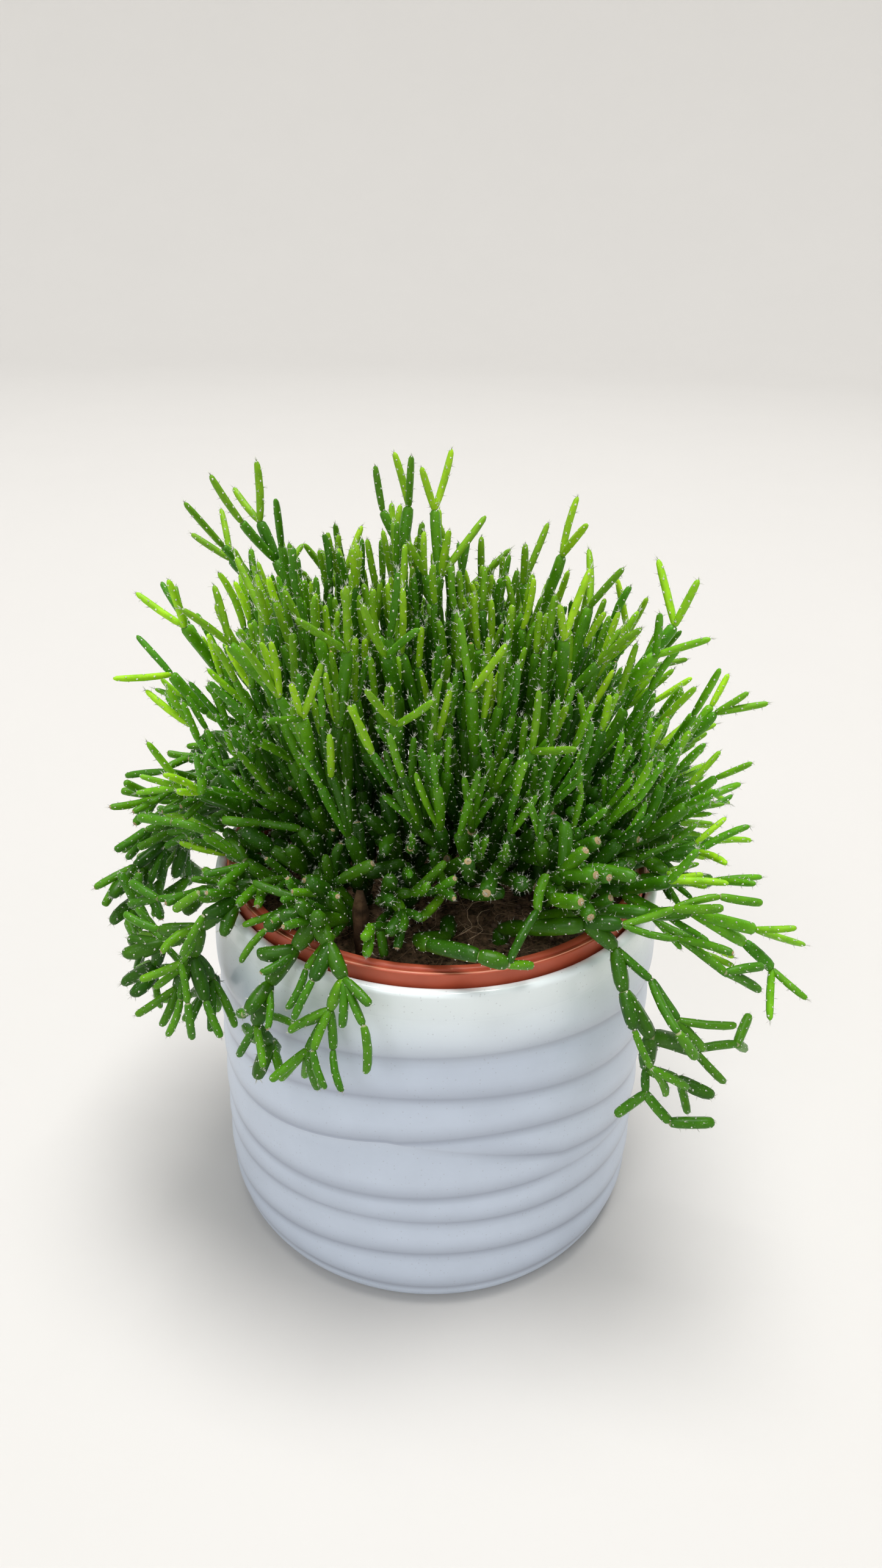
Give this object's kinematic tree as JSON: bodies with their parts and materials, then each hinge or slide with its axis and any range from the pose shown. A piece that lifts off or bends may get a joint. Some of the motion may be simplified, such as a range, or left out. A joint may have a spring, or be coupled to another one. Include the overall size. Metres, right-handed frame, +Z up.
{
  "type": "potted dancing bones cactus",
  "caption": "Dancing bones cactus: clumps of thin branching segmented stems in soil in a nursery pot, inside a wavy-walled ceramic cachepot.",
  "frame": {"origin": "the middle of the cachepot's flat foot, on the surface it stands on", "axes": "+Z up along the pots' axis, -Y towards the viewer of the picture, +X to the viewer's right"},
  "size_m": [0.2056, 0.17, 0.2471],
  "materials": {
    "glaze": "satin pale blue-grey glaze, glossier at the lip",
    "terracotta_plastic": "thin satin plastic",
    "compost": "loose fibrous potting soil",
    "green_upright": "waxy fresh green skin",
    "green_fanned": "waxy green skin",
    "green_trailing": "waxy dark green skin"
  },
  "bodies": {
    "root": {"cachepot": "glaze", "nursery_pot": "terracotta_plastic", "soil": "compost", "stem_left_tall": "green_upright", "stem_left_behind": "green_upright", "stem_left_outer": "green_fanned", "stem_left_front": "green_upright", "stem_left_low": "green_fanned", "stem_left_brush": "green_upright", "stem_middle_behind": "green_upright", "stem_middle_pair": "green_upright", "stem_middle_tall": "green_upright", "stem_middle_far": "green_upright", "stem_middle_front": "green_upright", "stem_right_front": "green_upright", "stem_right_tall": "green_upright", "stem_right_high": "green_upright", "stem_right_reach": "green_fanned", "stem_right_behind": "green_upright", "stem_right_fork": "green_fanned", "stem_right_low": "green_fanned", "stem_right_level": "green_fanned", "stem_right_over": "green_fanned", "stem_right_hanging": "green_trailing", "stem_front_lying": "green_trailing", "stem_front_stub": "green_trailing", "stem_front_left": "green_trailing", "stem_left_over": "green_trailing", "stem_left_hanging": "green_trailing", "stem_back_left": "green_fanned", "stem_back_middle": "green_fanned", "stem_back_right": "green_fanned", "stem_back_low_left": "green_trailing", "stem_back_hanging": "green_trailing", "stem_back_low_right": "green_fanned"}
  },
  "joints": []
}
